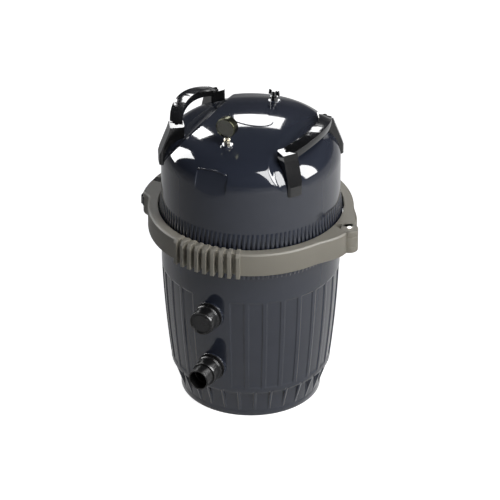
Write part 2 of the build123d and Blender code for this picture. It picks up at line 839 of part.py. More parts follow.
upper_port, lower_port = ports
save("upper_fitting", facing_front(fitting(), *upper_port))
save("lower_fitting", facing_front(fitting(), *lower_port))
save("fitting_gaskets", both_ports(tube(fitting_flange_radius, fitting_radius, 0, gasket_thickness)))
save("fitting_locknuts", both_ports(fitting_locknut()))
save("union_seals", both_ports(tube(fitting_radius, fitting_radius - seal_land, collar_end - seal_thickness,
                                    collar_end)))
save("upper_union_nut", facing_front(union_nut(), *upper_port))
save("lower_union_nut", facing_front(union_nut(), *lower_port))
save("blanking_plug", facing_front(blanking_plug(), *upper_port))
save("tailpiece", facing_front(tailpiece(), *lower_port))
save("flange_seal", tube(seal_radius + seal_width / 2, seal_radius - seal_width / 2,
                         joint_height - seal_height - face_clearance, joint_height - face_clearance))


# Inner pipework
cartridge_places = [(sx * cartridge_offset, sy * cartridge_offset) for sx in (-1, 1) for sy in (-1, 1)]


def collector_manifold():
    """A drum on the tank's floor with a spigot for each cartridge and sockets for the riser and bleed tube."""
    drum = rod(manifold_radius, manifold_low, cartridge_low)
    drum = chamfer(drum.edges().filter_by(GeomType.CIRCLE), manifold_chamfer)
    foot = Pos(manifold_radius - manifold_foot_inset, 0, 0) * rod(manifold_foot_radius, floor_thickness, manifold_low)
    feet = [Rot(0, 0, 90 * k) * foot for k in range(4)]
    spigot = tube(spigot_radius, spigot_radius - spigot_wall, cartridge_low, cartridge_low + spigot_height)
    spigots = [Pos(x, y, 0) * spigot for x, y in cartridge_places]
    return drum + feet + spigots - rod(bleed_tube_radius, cartridge_low - bleed_socket_depth, cartridge_low + 1)


def outlet_riser():
    """A bend from the drum up to the lower port."""
    lower = Pos(0, -riser_offset, 0) * rod(riser_radius, cartridge_low, lower_port_height)
    fitting_end = lower_port_face + fitting_rear
    across = facing_front(rod(riser_radius, riser_offset, fitting_end), lower_port_height)
    corner = Pos(0, -riser_offset, lower_port_height) * Sphere(riser_radius)
    bore = Pos(0, -riser_offset, 0) * rod(riser_bore, cartridge_low - 1, lower_port_height)
    bore_across = facing_front(rod(riser_bore, riser_offset, fitting_end + 1), lower_port_height)
    return lower + across + corner - bore - bore_across


def inlet_diffuser():
    """A slotted cup that spreads the water behind the upper port."""
    high = fitting_rear + diffuser_overlap
    low = high - diffuser_length
    cup = rod(diffuser_radius, low, high) - rod(fitting_radius, low + diffuser_wall, high + 1)
    slot = block((-diffuser_slot_width / 2, diffuser_slot_width / 2), (0, 2 * diffuser_radius),
                 (low + diffuser_wall + diffuser_slot_margin, fitting_rear - diffuser_slot_margin))
    slots = [Rot(0, 0, 360 / diffuser_slots * k) * slot for k in range(diffuser_slots)]
    return facing_front(cup - slots, *upper_port)


def pleat_pack():
    """A star-shaped ring of pleated cloth between the end caps."""
    points = []
    for k in range(pleat_count):
        for turn, radius in ((0, pleat_outer_radius), (0.5, pleat_inner_radius)):
            points.append(polar(radius, 360 * (k + turn) / pleat_count))
    star = extrude(make_face(Polyline(*points, close=True)), cartridge_high - cartridge_low - 2 * cap_thickness)
    return Pos(0, 0, cartridge_low + cap_thickness) * star - rod(core_outer_radius, cartridge_low, cartridge_high)


def end_caps():
    """The moulded rings at both ends of one cartridge."""
    return [tube(cartridge_radius, core_inner_radius, low, low + cap_thickness)
            for low in (cartridge_low, cartridge_high - cap_thickness)]


def cartridge_locator():
    """A spoked plate with a peg in the top of each cartridge."""
    low = cartridge_high
    high = cartridge_high + locator_thickness
    spoke_end = locator_radius - locator_rim_width / 2
    half_spoke = locator_spoke_width / 2
    half_grip = locator_grip_length / 2
    plate = tube(locator_radius, locator_radius - locator_rim_width, low, high) + rod(locator_hub_radius, low, high)
    pads = [Pos(x, y, 0) * rod(locator_pad_radius, low, high) for x, y in cartridge_places]
    spoke = block((0, spoke_end), (-half_spoke, half_spoke), (low, high))
    spokes = [Rot(0, 0, 45 + 90 * k) * spoke for k in range(4)]
    pegs = [Pos(x, y, 0) * rod(spigot_radius, low - locator_peg_length, low) for x, y in cartridge_places]
    bar = block((-half_grip, half_grip), (-locator_grip_width / 2, locator_grip_width / 2),
                (high, high + locator_grip_height))
    way = rod(strainer_radius + locator_hole_clearance, low - 1, high + locator_grip_height + 1)
    return plate + pads + spokes + pegs + bar - way


def bleed_strainer():
    top = bleed_tube_top + strainer_height
    cap = chamfer(rod(strainer_radius, bleed_tube_top, top).edges().filter_by(GeomType.CIRCLE), strainer_chamfer)
    return cap - rod(bleed_tube_radius - bleed_tube_wall, bleed_tube_top - 1, top - strainer_end_wall)


save("collector_manifold", collector_manifold())
save("outlet_riser", outlet_riser())
save("inlet_diffuser", inlet_diffuser())
save("cartridge_locator", cartridge_locator())
save("bleed_tube", tube(bleed_tube_radius, bleed_tube_radius - bleed_tube_wall,
                         cartridge_low - bleed_socket_depth, bleed_tube_top))
save("bleed_strainer", bleed_strainer())
for number, (x, y) in enumerate(cartridge_places, 1):
    place = Pos(x, y, 0)
    save(f"pleat_pack_{number}", place * pleat_pack())
    save(f"end_caps_{number}", Compound([place * cap for cap in end_caps()]))
    save(f"core_tube_{number}", place * tube(core_outer_radius, core_inner_radius,
                                             cartridge_low + cap_thickness, cartridge_high - cap_thickness))


# Drain, low on the back
def drain_plug():
    head_low = drain_boss_face + drain_seal_thickness
    head = rod(drain_head_radius, head_low, head_low + drain_head_length)
    head = chamfer(head.edges().filter_by(GeomType.CIRCLE), drain_head_chamfer)
    flute = Pos(drain_head_radius + 1, 0, 0) * rod(drain_flute_radius, head_low + drain_flute_radius,
                                                   head_low + 2 * drain_head_length)
    flutes = [Rot(0, 0, 360 / drain_flutes * k) * flute for k in range(drain_flutes)]
    return head + rod(drain_hole_radius, drain_boss_face - drain_thread_length, head_low + 1) - flutes


save("drain_plug", at_drain(drain_plug()))
save("drain_seal", at_drain(tube(drain_head_radius - 1, drain_hole_radius + drain_seal_clearance, drain_boss_face,
                                 drain_boss_face + drain_seal_thickness)))
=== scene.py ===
import json
import math

import bmesh
import bpy
import numpy as np
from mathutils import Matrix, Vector


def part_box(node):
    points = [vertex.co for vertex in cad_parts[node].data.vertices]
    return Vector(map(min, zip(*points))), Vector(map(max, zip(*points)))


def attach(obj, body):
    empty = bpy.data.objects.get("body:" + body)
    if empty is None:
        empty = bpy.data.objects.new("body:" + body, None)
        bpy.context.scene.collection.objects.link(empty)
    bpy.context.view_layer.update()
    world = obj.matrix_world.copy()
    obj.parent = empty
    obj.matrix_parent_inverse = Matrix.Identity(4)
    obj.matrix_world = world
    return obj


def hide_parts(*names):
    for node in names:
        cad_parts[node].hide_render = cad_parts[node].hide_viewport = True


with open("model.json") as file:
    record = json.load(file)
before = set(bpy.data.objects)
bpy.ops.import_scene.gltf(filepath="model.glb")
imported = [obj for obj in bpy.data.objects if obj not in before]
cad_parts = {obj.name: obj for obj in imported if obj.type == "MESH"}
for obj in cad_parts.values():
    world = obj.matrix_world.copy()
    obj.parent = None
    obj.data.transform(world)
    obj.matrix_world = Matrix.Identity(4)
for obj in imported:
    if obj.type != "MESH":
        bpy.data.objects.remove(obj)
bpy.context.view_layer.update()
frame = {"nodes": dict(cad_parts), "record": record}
scene = bpy.context.scene
nodes = frame["nodes"]

# Camera: the photograph looks down on the front from its right, through a long lens
view_azimuth = math.radians(27.0)
view_elevation = math.radians(30.6)
view_distance = 14.0
metres_per_pixel = 0.0033
frame_pixels = 500
axis_pixel_x = 250.8
base_pixel_y = 378.0
view_right = Vector((math.cos(view_azimuth), math.sin(view_azimuth), 0))
view_front = Vector((math.sin(view_azimuth), -math.cos(view_azimuth), 0))
upwards = Vector((0, 0, 1))


def make_camera():
    """Aims at the point that the photograph has at its centre, with a lens for the chosen scale."""
    toward = view_front * math.cos(view_elevation) + upwards * math.sin(view_elevation)
    up = toward.cross(view_right)
    half = frame_pixels / 2
    aim = view_right * ((half - axis_pixel_x) * metres_per_pixel) + up * ((base_pixel_y - half) * metres_per_pixel)
    data = bpy.data.cameras.new("camera")
    data.sensor_width = 36
    data.lens = data.sensor_width * view_distance / (frame_pixels * metres_per_pixel)
    data.clip_end = 100
    camera = bpy.data.objects.new("camera", data)
    scene.collection.objects.link(camera)
    camera.location = aim + toward * view_distance
    camera.rotation_mode = "QUATERNION"
    camera.rotation_quaternion = toward.to_track_quat("Z", "Y")
    scene.camera = camera


make_camera()


def linear(hex_colour):
    """sRGB hex to linear red, green, blue and alpha."""
    value = hex_colour.lstrip("#")
    parts = [int(value[k:k + 2], 16) / 255 for k in (0, 2, 4)]
    return [c / 12.92 if c <= 0.04045 else ((c + 0.055) / 1.055) ** 2.4 for c in parts] + [1.0]


def add(tree, kind, inputs=None, **settings):
    """Adds one node, with settings on it and values or links on its inputs."""
    node = tree.nodes.new(kind)
    for name, value in settings.items():
        setattr(node, name, value)
    for name, value in (inputs or {}).items():
        if isinstance(value, bpy.types.NodeSocket):
            tree.links.new(value, node.inputs[name])
        else:
            node.inputs[name].default_value = value
    return node


# A moulding's colour and gloss drift in clouds about 110 mm across
clouds_per_metre = 9.0


def material(name, colour, roughness, metallic=0.0, ior=1.5, coat=0.0, coat_roughness=0.03, grain_mm=2.0,
             grain_depth=0.0, tint=0.12, rough_spread=0.05, transmission=0.0, sheen=0.0):
    """A moulded, turned or cast finish: colour that drifts a little, roughness that varies, and a fine relief."""
    made = bpy.data.materials.new(name)
    made.use_nodes = True
    tree = made.node_tree
    shader = tree.nodes["Principled BSDF"]
    place = add(tree, "ShaderNodeTexCoord").outputs["Object"]
    clouds = add(tree, "ShaderNodeTexNoise",
                 {"Vector": place, "Scale": clouds_per_metre, "Detail": 3.0}).outputs["Fac"]
    base = np.array(linear(colour))
    low, high = base * (1 - tint), np.minimum(base * (1 + tint), 1)
    low[3] = high[3] = 1
    # A colour mix has its two colours on inputs 6 and 7 and the result on output 2
    mix = add(tree, "ShaderNodeMix", {0: clouds, 6: list(low), 7: list(high)}, data_type="RGBA")
    tree.links.new(mix.outputs[2], shader.inputs["Base Color"])
    spread = add(tree, "ShaderNodeMapRange", {"Value": clouds, "From Min": 0.3, "From Max": 0.7,
                                              "To Min": max(roughness - rough_spread, 0.01),
                                              "To Max": roughness + rough_spread})
    tree.links.new(spread.outputs["Result"], shader.inputs["Roughness"])
    if grain_depth:
        grain = add(tree, "ShaderNodeTexNoise", {"Vector": place, "Scale": 1000 / grain_mm, "Detail": 2.0})
        bump = add(tree, "ShaderNodeBump",
                   {"Height": grain.outputs["Fac"], "Strength": 1.0, "Distance": grain_depth})
        tree.links.new(bump.outputs["Normal"], shader.inputs["Normal"])
    shader.inputs["Metallic"].default_value = metallic
    shader.inputs["IOR"].default_value = ior
    shader.inputs["Coat Weight"].default_value = coat
    shader.inputs["Coat Roughness"].default_value = coat_roughness
    shader.inputs["Transmission Weight"].default_value = transmission
    shader.inputs["Sheen Weight"].default_value = sheen
    return made


# Vessel: glass-filled polypropylene, moulded against polished steel, so nearly black blue with clear reflections
vessel = material("glass_filled_polypropylene", "#373c49", 0.07, coat=0.6, coat_roughness=0.015, rough_spread=0.01)
# Clamp ring: warm grey nylon from a spark-eroded mould, whose grain gives it an even satin look. The real
# grain is finer than a pixel, so it is drawn 3 mm coarse
ring_grey = material("spark_textured_nylon", "#9e998c", 0.55, grain_mm=3.0, grain_depth=0.0001, tint=0.05)
# Handles, air valve and latch lever: black ABS from a polished mould, glossy with soft-edged white reflections
black_abs = material("polished_black_abs", "#1a1a1a", 0.14, coat=0.6, coat_roughness=0.04)
# Unions: injection-moulded PVC, a softer black that shows only small highlights
union_pvc = material("injection_moulded_pvc", "#1a1a1a", 0.3, ior=1.42, coat=0.4, coat_roughness=0.05)
# Pins: turned stainless steel, bright with a slightly blurred shine
stainless = material("turned_stainless", "#b9b7b1", 0.28, metallic=1.0)
# Handle screws: steel painted dark as painted shade, which makes each screw well look like a dark hole
painted_shade_steel = material("steel_painted_dark_as_shade", "#2b2b2b", 0.45, metallic=1.0)
# Gauge case: dull plated steel, a dark olive that mirrors the studio dimly
plated = material("dull_plated_steel", "#4f4f3f", 0.25, metallic=1.0)
# Gauge stem: nickel-plated brass, pale and warm with sharp highlights
brass = material("nickel_plated_brass", "#b8b2a2", 0.2, metallic=1.0)
# Dial: a printed card in flat olive, bare of numbers
dial_paint = material("printed_dial", "#2e2e22", 0.6)
# Pointer: black enamel, a little glossier than the dial
pointer_paint = material("pointer_enamel", "#101010", 0.4)
# Window: clear moulded plastic. Its index is below the real 1.5, because it hardly mirrors in the photograph
window = material("gauge_window", "#f4f4f0", 0.03, transmission=1.0, ior=1.34)
# Seals: moulded nitrile rubber, matte black
rubber = material("moulded_nitrile_rubber", "#161616", 0.6)
# Pad between the clamp halves: rubber painted almost black, as painted shade for the gap between the halves, the
# darkest thing on the object
painted_shade_rubber = material("rubber_painted_black_as_shade", "#070707", 0.7, ior=1.4)
# Manifold, riser, cores and locator: moulded white PVC, off-white with a low shine
white_pvc = material("moulded_white_pvc", "#d9d8d2", 0.35)
# Pleats: spun polyester felt, whose fibres blur every edge of light. They are drawn 1.5 mm coarse to show
felt = material("pleated_polyester_felt", "#e2e0d6", 0.85, grain_mm=1.5, grain_depth=0.0002, sheen=0.3)
# Cartridge end caps: cast urethane, an even soft blue
urethane = material("cast_blue_urethane", "#2c5b9c", 0.4)

slot_finish = {
    "tank_plastic": vessel, "ring_plastic": ring_grey, "black_plastic": black_abs, "steel": stainless,
    "badge_film": vessel, "brass": brass, "gauge_steel": plated, "dial": dial_paint, "needle": pointer_paint,
    "lens": window, "rubber": rubber, "inner_plastic": white_pvc, "pleat_cloth": felt, "cap_urethane": urethane,
}
# The handle screws take the steel painted dark, as painted shade in their wells
node_finish = {"handle_screws": painted_shade_steel, "upper_fitting": union_pvc, "lower_fitting": union_pvc,
               "upper_union_nut": union_pvc, "lower_union_nut": union_pvc, "tailpiece": union_pvc,
               "blanking_plug": union_pvc}
slot_of = {row["node"]: row["material_slot"] for row in frame["record"]["subparts"]}
for name, node in nodes.items():
    node.data.materials.clear()
    node.data.materials.append(node_finish.get(name, slot_finish[slot_of[name]]))


# New surfaces are worked out in millimetres, from the frame where a CAD node gives the size
def corners(name):
    """A CAD node's lowest and highest corners in millimetres."""
    return [np.round(np.array(corner) * 1000, 3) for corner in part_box(name)]


tank_box, ring_box = corners("tank_shell"), corners("ring_rear_half")
joint_z, flange_radius = tank_box[1][2], tank_box[1][0]
flange_thickness = 22.0
edge_break = 0.8


def smoothstep(value):
    """3t^2 - 2t^3 between 0 and 1, and flat outside."""
    t = np.clip(value, 0.0, 1.0)
    return t * t * (3 - 2 * t)


def skin(rows):
    """Quads between successive closed rows of points, whose last point joins the first."""
    rows = np.asarray(rows, float)
    count, width = rows.shape[:2]
    i = np.arange(count - 1)[:, None]
    j = np.arange(width)[None, :]
    k = (j + 1) % width
    faces = np.stack([i * width + j, i * width + k, (i + 1) * width + k, (i + 1) * width + j], -1)
    return rows.reshape(-1, 3), faces.reshape(-1, 4).tolist()


def capped(rows):
    """A skin of closed rows with a face over each end."""
    points, faces = skin(rows)
    width = len(rows[0])
    return points, faces + [list(range(width)), list(range(len(points) - width, len(points)))]


def loop(rows):
    """Rows closed into a ring, the last joined to the first."""
    rows = np.asarray(rows)
    return skin(np.concatenate([rows, rows[:1]]))


def level_row(radius, height, angle):
    """Points (r sin a, -r cos a, z) at angles a from the front."""
    return np.stack([radius * np.sin(angle), -radius * np.cos(angle), height + 0 * angle], -1)


def spin(profile, segments):
    """Points (r, z) of a profile turned about Z: (r sin a, -r cos a, z) for equal steps of a."""
    profile = np.asarray(profile, float)
    return level_row(profile[:, :1], profile[:, 1:], np.linspace(0, 2 * np.pi, segments, endpoint=False))


def turned(points, degrees):
    """Points turned about Z."""
    turn = math.radians(degrees)
    x = points[..., 0] * math.cos(turn) - points[..., 1] * math.sin(turn)
    y = points[..., 0] * math.sin(turn) + points[..., 1] * math.cos(turn)
    return np.stack([x, y, points[..., 2]], -1)


def rounded(points, size, steps=4):
    """A closed outline whose corners c become curves (1-s)^2 p + 2s(1-s) c + s^2 q, with p and q on its sides."""
    points = np.asarray(points, float)
    out = []
    for k, corner in enumerate(points):
        ends = []
        for other in (points[k - 1], points[(k + 1) % len(points)]):
            side = other - corner
            length = np.linalg.norm(side)
            ends.append(corner + side * min(size, length * 0.45) / length)
        for s in np.linspace(0, 1, steps):
            out.append((1 - s) ** 2 * ends[0] + 2 * s * (1 - s) * corner + s ** 2 * ends[1])
    return np.array(out)


def mesh_piece(name, parts, finish, body, replaced=(), crease=0):
    """One piece from (points in millimetres, faces) pairs, riding on a body and standing for CAD nodes."""
    points, faces, base = [], [], 0
    for part_points, part_faces in parts:
        points.append(part_points)
        faces += [[base + v for v in face] for face in part_faces]
        base += len(part_points)
    mesh = bpy.data.meshes.new(name)
    mesh.from_pydata((np.concatenate(points) * 0.001).tolist(), [], faces)
    work = bmesh.new()
    work.from_mesh(mesh)
    bmesh.ops.remove_doubles(work, verts=work.verts, dist=1e-6)
    bmesh.ops.recalc_face_normals(work, faces=work.faces)
    for face in work.faces:
        face.smooth = True
    work.to_mesh(mesh)
    work.free()
    if crease:
        mesh.set_sharp_from_angle(angle=math.radians(crease))
    mesh.materials.append(finish)
    piece = bpy.data.objects.new(name, mesh)
    scene.collection.objects.link(piece)
    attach(piece, body)
    if replaced:
        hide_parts(*replaced)


# Reinforcing ribs beside both flanges, sunk a little into the wall that carries them
gusset_count, gusset_half_width, gusset_crown, gusset_sunk = 120, 5.0, 1.2, 4.0


def gussets(flange_z, end_z, root, tip_radius):
    """Upright triangular ribs: an outline (r, z) set at four places across the rib, its middle proud by a crown."""
    outline = np.array([
        (root - gusset_sunk, flange_z), (tip_radius, flange_z),
        (tip_radius - edge_break, flange_z * 0.8 + end_z * 0.2), (root + 0.4, flange_z * 0.1 + end_z * 0.9),
        (root - gusset_sunk + 1, end_z), (root - gusset_sunk, end_z)])
    across = gusset_half_width * np.array([-1, -0.7, 0.7, 1])[:, None]
    crown = gusset_crown * np.array([0, 1, 1, 0])[:, None]
    radius = outline[:, 0] + crown * (outline[:, 0] > root) - gusset_crown
    points, faces = capped(np.stack([radius, across + 0 * radius, outline[:, 1] + 0 * radius], -1))
    return [(turned(points, 360 * (k + 0.5) / gusset_count - 90), faces) for k in range(gusset_count)]


# Lid: a wall, a bend and a crown, with a raised band over the middle and a flat facet in front
lid_radius, lid_wall = 288.0, 8.0
crown_radius, crown_z, crown_edge = 760.0, 968.0, 222.0
band_rise, band_top_half, band_spread = 12.0, 126.0, 0.683
band_blend, band_start, band_fade = 18.0, 700.0, 140.0
facet_half, facet_low, facet_high, facet_run = 53.5, 842.0, 918.0, 24.0
facet_under, facet_over, facet_fade = 10.0, 12.0, 8.0
facet_side, facet_rounding = 1.2, 3.0
lid_gusset_end, lid_gusset_tip = 722.0, 296.0
boss_reach, boss_radius, boss_rise, boss_sunk = 165.0, 20.0, 4.0, 6.0
ridge_end, ridge_radius, ridge_lift = 4.0, 2.8, 0.6
bead_half_length, bead_half_width, bead_radius, bead_lift = 75.5, 46.5, 1.3, 0.6

flange_top = joint_z + flange_thickness
crown_lean = math.asin(crown_edge / crown_radius)
bend_radius = (lid_radius - crown_edge) / (1 - math.sin(crown_lean))
shoulder_z = crown_z - crown_radius * (1 - math.cos(crown_lean)) - bend_radius * math.cos(crown_lean)


def dome_profile(inset, wall_heights, bend_count, crown_count):
    """(r, z) up the wall, round the bend of radius b about (R - b, s), then over the crown of radius c."""
    bend, crown = bend_radius - inset, crown_radius - inset
    lean = np.linspace(math.pi / 2, crown_lean, bend_count + 1)[1:]
    over = np.linspace(crown_lean, 0, crown_count + 1)[1:]
    wall = [(lid_radius - inset, z) for z in wall_heights]
    turn = np.stack([lid_radius - bend_radius + bend * np.sin(lean), shoulder_z + bend * np.cos(lean)], -1)
    top = np.stack([crown * np.sin(over), crown_z - crown_radius + crown * np.cos(over)], -1)
    return np.concatenate([wall, turn, top])


def band_top(x, y):
    """Height of the raised band's sphere: c - R + sqrt(R^2 - x^2 - y^2)."""
    return crown_z + band_rise - crown_radius + np.sqrt(crown_radius ** 2 - x ** 2 - y ** 2)


def lid_angles(radius):
    """Angles round the lid: lines of constant x across the facet, then even steps to the back, on both sides."""
    held = max(radius, crown_edge)
    across = np.concatenate([np.arange(0, 52, 4.0), facet_half + np.linspace(-facet_side, facet_side, 7), [58.0, 64.0]])
    last = math.asin(70.0 / held)
    half = np.concatenate([np.arcsin(across / held), last + (math.pi - last) * np.linspace(0, 1, 165)])
    return np.concatenate([half, -half[-2:0:-1]])


def lid_skin():
    """z gains h S(x) on the band and y is drawn back to the facet's plane by (d + sqrt(d^2 + e)) / 2."""
    wall = [[flange_top, flange_top + 2, flange_top + 6, 700, 760, 800], np.arange(812, shoulder_z, 3.0), [shoulder_z]]
    profile = dome_profile(0, np.concatenate(wall), 62, 26)
    # The wall's foot flares into the flange
    profile[0, 0], profile[1, 0] = lid_radius + 4, lid_radius + 1
    rows = []
    for radius, height in profile:
        angle = lid_angles(radius)
        x, y = radius * np.sin(angle), -radius * np.cos(angle)
        edge = band_top_half + band_spread * (crown_z + band_rise - height)
        share = smoothstep((edge + band_blend / 2 - np.abs(x)) / band_blend)
        z = height + band_rise * share * smoothstep((height - band_start) / band_fade)
        plane = -(lid_radius - facet_run * np.clip((z - facet_low) / (facet_high - facet_low), 0, 1))
        depth = plane - y
        cut = 0.5 * (depth + np.sqrt(depth ** 2 + facet_rounding))
        cut = cut * (y < 0) * smoothstep((facet_half + facet_side - np.abs(x)) / (2 * facet_side))
        cut = cut * smoothstep((z - facet_low + facet_under) / facet_fade)
        cut = cut * smoothstep((facet_high + facet_over - z) / facet_fade)
        rows.append(np.stack([x, y + cut, z], -1))
    inner = lid_radius - lid_wall
    underside = [*dome_profile(lid_wall, [flange_top, 740], 12, 12)[::-1],
                 (inner, joint_z + 1), (inner + edge_break, joint_z), (flange_radius - edge_break, joint_z),
                 (flange_radius, joint_z + edge_break), (flange_radius, flange_top - edge_break),
                 (flange_radius - edge_break, flange_top), (lid_radius + 6, flange_top)]
    angle = np.linspace(0, 2 * np.pi, len(rows[0]), endpoint=False)
    return loop(rows + [level_row(radius, height, angle) for radius, height in underside])


def fixture_bosses():
    """Low round bosses under the gauge at the front and the air valve at the back."""
    top = band_top(0, boss_reach)
    foot = boss_radius + 3
    outline = rounded([(0, top - boss_sunk), (foot, top - boss_sunk), (boss_radius, top + boss_rise),
                       (0, top + boss_rise)], 1.5)
    points, faces = loop(spin(outline, 64))
    return [(points + np.array([0, side * boss_reach, 0]), faces) for side in (-1, 1)]


def facet_ridge():
    """A rod of eight sides along the facet's upper edge, where the facet's plane meets the bend."""
    turn = np.linspace(0, 2 * np.pi, 8, endpoint=False)
    x = np.linspace(-facet_half + ridge_end, facet_half - ridge_end, 25)[:, None]
    y = facet_run - lid_radius
    z = shoulder_z + band_rise + np.sqrt(bend_radius ** 2 - (np.hypot(x, y) - lid_radius + bend_radius) ** 2)
    return capped(np.stack([x + 0 * turn, y - ridge_lift + ridge_radius * np.cos(turn) + 0 * x,
                            z + ridge_lift + ridge_radius * np.sin(turn)], -1))


def badge_bead():
    """A round bead along an ellipse on the crown, about the bare oval."""
    turn = np.linspace(0, 2 * np.pi, 8, endpoint=False)[:, None]
    around = np.linspace(0, 2 * np.pi, 96, endpoint=False)
    out = bead_radius * np.cos(turn)
    x, y = (bead_half_length + out) * np.cos(around), (bead_half_width + out) * np.sin(around)
    return loop(np.stack([x, y, band_top(x, y) + bead_lift + bead_radius * np.sin(turn)], -1))


mesh_piece("badge_bead", [badge_bead()], vessel, "lid")
lid_parts = [lid_skin(), *gussets(flange_top, lid_gusset_end, lid_radius, lid_gusset_tip), *fixture_bosses(),
             facet_ridge()]
mesh_piece("lid_skin", lid_parts, vessel, "lid", ["lid_shell"])


# Tank: a bowed wall with sunk panels over a finned base, both at one pitch, and two port bosses in front
foot_radius, foot_height, foot_inner = 229.0, 21.0, 218.0
wall_marks = ((260.0, 112.0), (280.0, 312.0), (289.0, 480.0))
full_radius, tank_wall = wall_marks[2][0], 9.0
panel_low, panel_high, panel_depth, panel_blend = 126.0, 459.0, 2.8, 5.0
pitch_angle, panel_half_angle, fin_half_angle, bare_half_angle = 12.0, 4.5, 1.05, 12.0
fin_edge = ((229.0, 21.0), (230.0, 24.0), (236.0, 41.7), (242.0, 59.5), (248.0, 77.0), (254.0, 94.6),
            (256.5, 102.0), (258.5, 108.0), (260.0, 112.0))
pocket_floor = ((229.0, 21.0), (229.6, 24.0), (233.5, 45.0), (237.5, 66.0), (241.3, 86.0), (243.3, 97.0),
                (244.5, 98.5), (258.5, 104.4), (260.0, 106.0))
groove_inner, groove_outer, groove_floor = 296.8, 305.2, 620.6
cavity_radius, cavity_floor, recess_z, centre_pad_radius, centre_hole = 207.0, 26.0, 10.0, 60.0, 0.5
tank_gusset_end, tank_gusset_tip = 546.0, 298.0
fitting_reach, port_boss_radius, port_boss_depth, port_cut, fitting_hole = 36.0, 47.0, 46.0, 41.0, 34.2


def ports():
    """Height and outer face of each port, from the fitting that stands in it."""
    boxes = [corners(name) for name in ("upper_fitting", "lower_fitting")]
    return [((low[2] + high[2]) / 2, -low[1] - fitting_reach) for low, high in boxes]


def arc_through(start, middle, end, count):
    """Points on the circle through three points; its centre is where the chords' bisectors meet."""
    (ax, ay), (bx, by), (cx, cy) = start, middle, end
    scale = 2 * (ax * (by - cy) + bx * (cy - ay) + cx * (ay - by))
    sums = [x * x + y * y for x, y in (start, middle, end)]
    ux = (sums[0] * (by - cy) + sums[1] * (cy - ay) + sums[2] * (ay - by)) / scale
    uy = (sums[0] * (cx - bx) + sums[1] * (ax - cx) + sums[2] * (bx - ax)) / scale
    radius = math.hypot(ax - ux, ay - uy)
    heights = np.linspace(ay, cy, count)
    side = 1 if ax > ux else -1
    return np.stack([ux + side * np.sqrt(radius ** 2 - (heights - uy) ** 2), heights], -1)


wall_line = arc_through(*wall_marks, 200)


def wall_radius(height):
    """The tank wall's radius at a height."""
    return np.interp(height, wall_line[:, 1], wall_line[:, 0])


def around_lines():
    """Degrees from the hinge, with tight lines at each panel edge and fin edge."""
    fin_lines = [fin_half_angle + o for o in (-0.1, -0.03, 0.03, 0.1)]
    panel_lines = [panel_half_angle + o for o in (-0.12, -0.04, 0.04, 0.12)]
    half = fin_lines + [2.2, 3.4] + panel_lines + [5.3]
    period = sorted([0.0, pitch_angle / 2] + half + [-a for a in half])
    return np.array([pitch_angle * k + a for k in range(int(360 / pitch_angle)) for a in period])


def tank_skin():
    """The wall's arc with r - d P(a) Q(z) in the panels, and pockets between fins whose depth grows upwards."""
    from_hinge = around_lines()
    angle = np.radians(from_hinge + 90)
    off_fin = np.abs((from_hinge + pitch_angle / 2) % pitch_angle - pitch_angle / 2)
    off_front = np.abs((from_hinge + 270) % 360 - 180)
    pocket = smoothstep((off_fin - fin_half_angle + 0.07) / 0.14)
    panel = smoothstep((panel_half_angle + 0.08 - off_fin) / 0.16) * (off_front > bare_half_angle)

    foot = [(foot_inner - 3, recess_z), (foot_inner - 1, edge_break), (foot_inner, 0), (foot_radius - edge_break, 0),
            (foot_radius, edge_break), (foot_radius, foot_height - 1)]
    rows = [level_row(radius, z, angle) for radius, z in foot]
    for (fin_r, fin_z), (gap_r, gap_z) in zip(fin_edge, pocket_floor):
        rows.append(level_row(fin_r + (gap_r - fin_r) * pocket, fin_z + (gap_z - fin_z) * pocket, angle))

    low_edge = panel_low + panel_blend * np.array([-1, -0.5, 0, 0.5, 1])
    high_edge = panel_high + np.array([-4, -0.8, -0.3, 0.3, 0.8])
    for z in np.concatenate([[115], low_edge, np.linspace(140, 448, 26), high_edge, [466, 480]]):
        inside = smoothstep((z - panel_low + panel_blend) / (2 * panel_blend))
        inside = inside * smoothstep((panel_high + 0.6 - z) / 1.2)
        rows.append(level_row(wall_radius(z) - panel_depth * panel * inside, z, angle))

    flange_low = joint_z - flange_thickness
    inner = full_radius - tank_wall
    top = [(full_radius, 520), (full_radius, 560), (full_radius, 600), (full_radius + 1, 604),
           (full_radius + 4, flange_low), (flange_radius - edge_break, flange_low),
           (flange_radius, flange_low + edge_break), (flange_radius, joint_z - edge_break),
           (flange_radius - edge_break, joint_z), (groove_outer, joint_z), (groove_outer, groove_floor),
           (groove_inner, groove_floor), (groove_inner, joint_z), (inner + edge_break, joint_z),
           (inner, joint_z - edge_break), (inner, 480)]
    inside_wall = [(wall_radius(z) - tank_wall, z) for z in np.linspace(470, 112, 30)]
    bottom = [(236, 103), (cavity_radius, cavity_floor), (centre_hole, cavity_floor), (centre_hole, 0),
              (centre_pad_radius - 1, 0), (centre_pad_radius, 1), (centre_pad_radius, recess_z)]
    rows += [level_row(radius, z, angle) for radius, z in top + inside_wall + bottom]

    # The wall is left open inside each port boss
    points, faces = loop(rows)
    centre = points[np.array(faces)].mean(1)
    keep = np.ones(len(faces), bool)
    for height, _ in ports():
        keep &= ~((np.hypot(centre[:, 0], centre[:, 2] - height) < port_cut) & (centre[:, 1] < -200))
    return points, [face for face, kept in zip(faces, keep) if kept]


def port_bosses():
    """Round collars with the fittings' bore, built along Z and laid so that Z runs out of the port along -Y."""
    outline = rounded([(fitting_hole, -port_boss_depth), (port_boss_radius, -port_boss_depth),
                       (port_boss_radius, 0), (fitting_hole, 0)], 1.2)
    points, faces = loop(spin(outline, 96))
    return [(np.stack([points[:, 0], -face - points[:, 2], height + points[:, 1]], -1), faces)
            for height, face in ports()]


tank_parts = [tank_skin(), *gussets(joint_z - flange_thickness, tank_gusset_end, full_radius, tank_gusset_tip),
              *port_bosses()]
mesh_piece("tank_skin", tank_parts, vessel, "tank", ["tank_shell"])


